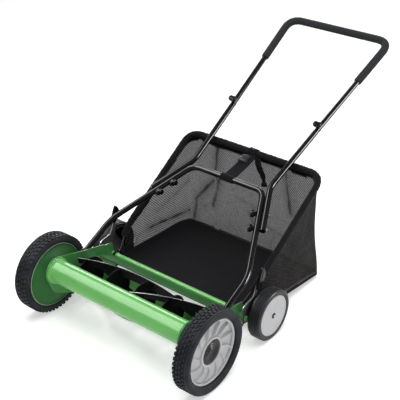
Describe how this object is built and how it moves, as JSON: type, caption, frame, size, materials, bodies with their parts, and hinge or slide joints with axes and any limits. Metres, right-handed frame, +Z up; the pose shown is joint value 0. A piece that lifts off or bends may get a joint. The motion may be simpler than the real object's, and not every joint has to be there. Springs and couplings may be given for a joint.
{
  "type": "reel mower",
  "caption": "Push reel mower with geared front wheels, an adjustable cutter bar, a swinging tube handle and a strapped-on grass catcher.",
  "frame": {"origin": "middle of the footprint, on the ground, with all four wheels standing on it", "axes": "+Y runs back along the mower, from the front wheels to the handle; +X to the left side, from behind the handle; +Z up"},
  "size_m": [0.676, 1.2778, 0.6482],
  "materials": {
    "green_paint": "gloss, bright green",
    "green_plate": "gloss, mid green",
    "black_paint": "gloss black",
    "blade_steel": "satin black, ground edges",
    "bright_steel": "satin",
    "zinc_plate": "bright zinc",
    "tyre_rubber": "matt charcoal",
    "hub_plastic": "satin light grey",
    "black_plastic": "satin black",
    "foam_grip": "matt closed-cell foam",
    "canvas": "woven, near black",
    "mesh_cloth": "open mesh, warm grey",
    "webbing": "ribbed webbing"
  },
  "bodies": {
    "chassis": {"side_plate_left": "green_plate", "side_plate_right": "green_plate", "rear_bracket_left": "green_plate", "rear_bracket_right": "green_plate", "gear_cover_left": "green_plate", "gear_cover_right": "green_plate", "front_axle_left": "bright_steel", "front_axle_right": "bright_steel", "handle_bolt_left": "bright_steel", "handle_bolt_right": "bright_steel", "front_tube": "green_paint", "rear_rod": "green_paint", "rear_deflector": "green_paint"},
    "cutter": {"cutter_bar": "green_paint", "bedknife": "bright_steel"},
    "reel": {"reel_shaft": "blade_steel", "reel_blade_1": "blade_steel", "reel_blade_2": "blade_steel", "reel_blade_3": "blade_steel", "reel_blade_4": "blade_steel", "reel_spider_left_outer": "blade_steel", "reel_spider_left": "blade_steel", "reel_spider_middle": "blade_steel", "reel_spider_right": "blade_steel", "reel_spider_right_outer": "blade_steel", "pinion_left": "bright_steel", "pinion_right": "bright_steel"},
    "front_wheel_left": {"front_tyre_left": "tyre_rubber", "front_hub_left": "hub_plastic", "hub_cap_left": "black_plastic"},
    "rear_wheel_left": {"rear_tyre_left": "tyre_rubber", "rear_hub_left": "hub_plastic"},
    "height_arm_body_left": {"height_arm_left": "zinc_plate", "height_lever_left": "black_plastic", "rear_axle_bolt_left": "bright_steel"},
    "front_wheel_right": {"front_tyre_right": "tyre_rubber", "front_hub_right": "hub_plastic", "hub_cap_right": "black_plastic"},
    "rear_wheel_right": {"rear_tyre_right": "tyre_rubber", "rear_hub_right": "hub_plastic"},
    "height_arm_body_right": {"height_arm_right": "zinc_plate", "height_lever_right": "black_plastic", "rear_axle_bolt_right": "bright_steel"},
    "handle": {"lower_handle": "black_paint", "upper_handle": "black_paint", "foam_grip": "foam_grip", "middle_tube_left": "black_paint", "middle_tube_right": "black_paint", "upper_knob_left": "black_plastic", "upper_knob_right": "black_plastic", "inner_knob_left_1": "black_plastic", "inner_knob_left_2": "black_plastic", "inner_knob_right_1": "black_plastic", "inner_knob_right_2": "black_plastic"},
    "catcher": {"catcher_frame": "black_paint", "rim_binding": "canvas", "catcher_bag": "mesh_cloth", "catcher_floor": "canvas"},
    "strap": {"catcher_strap": "webbing"}
  },
  "joints": [
    {"name": "front_wheel_left_spin", "type": "hinge", "parent": "chassis", "child": "front_wheel_left", "pos_m": [0.31, -0.5119, 0.127], "axis": [1, 0, 0], "continuous": true},
    {"name": "front_wheel_right_spin", "type": "hinge", "parent": "chassis", "child": "front_wheel_right", "pos_m": [-0.31, -0.5119, 0.127], "axis": [1, 0, 0], "continuous": true},
    {"name": "reel_spin", "type": "hinge", "parent": "chassis", "child": "reel", "pos_m": [0, -0.43523, 0.10414], "axis": [1, 0, 0], "continuous": true},
    {"name": "bedknife_adjust", "type": "hinge", "parent": "chassis", "child": "cutter", "pos_m": [0, -0.3939, 0.045], "axis": [1, 0, 0], "range_deg": [0, 1.5]},
    {"name": "height_left", "type": "hinge", "parent": "chassis", "child": "height_arm_body_left", "pos_m": [0.2845, -0.3069, 0.098], "axis": [1, 0, 0], "range_deg": [-7, 7]},
    {"name": "height_right", "type": "hinge", "parent": "chassis", "child": "height_arm_body_right", "pos_m": [-0.2845, -0.3069, 0.098], "axis": [1, 0, 0], "range_deg": [-7, 7]},
    {"name": "rear_wheel_left_spin", "type": "hinge", "parent": "height_arm_body_left", "child": "rear_wheel_left", "pos_m": [0.313, -0.2283, 0.081], "axis": [1, 0, 0], "continuous": true},
    {"name": "rear_wheel_right_spin", "type": "hinge", "parent": "height_arm_body_right", "child": "rear_wheel_right", "pos_m": [-0.313, -0.2283, 0.081], "axis": [1, 0, 0], "continuous": true},
    {"name": "handle_swing", "type": "hinge", "parent": "chassis", "child": "handle", "pos_m": [0, -0.3999, 0.1575], "axis": [1, 0, 0], "range_deg": [0, 20]},
    {"name": "catcher_tilt", "type": "hinge", "parent": "chassis", "child": "catcher", "pos_m": [0, -0.2899, 0.096], "axis": [1, 0, 0], "range_deg": [0, 14]},
    {"name": "strap_swing", "type": "hinge", "parent": "catcher", "child": "strap", "pos_m": [0, 0.1281, 0.37], "axis": [1, 0, 0], "range_deg": [-24, 0]}
  ],
  "couplings": [
    {"joint": "front_wheel_right_spin", "follows": "front_wheel_left_spin", "ratio": 1},
    {"joint": "reel_spin", "follows": "front_wheel_left_spin", "ratio": 7.4},
    {"joint": "height_right", "follows": "height_left", "ratio": 1},
    {"joint": "catcher_tilt", "follows": "handle_swing", "ratio": 0.7},
    {"joint": "strap_swing", "follows": "handle_swing", "ratio": -1.2}
  ]
}
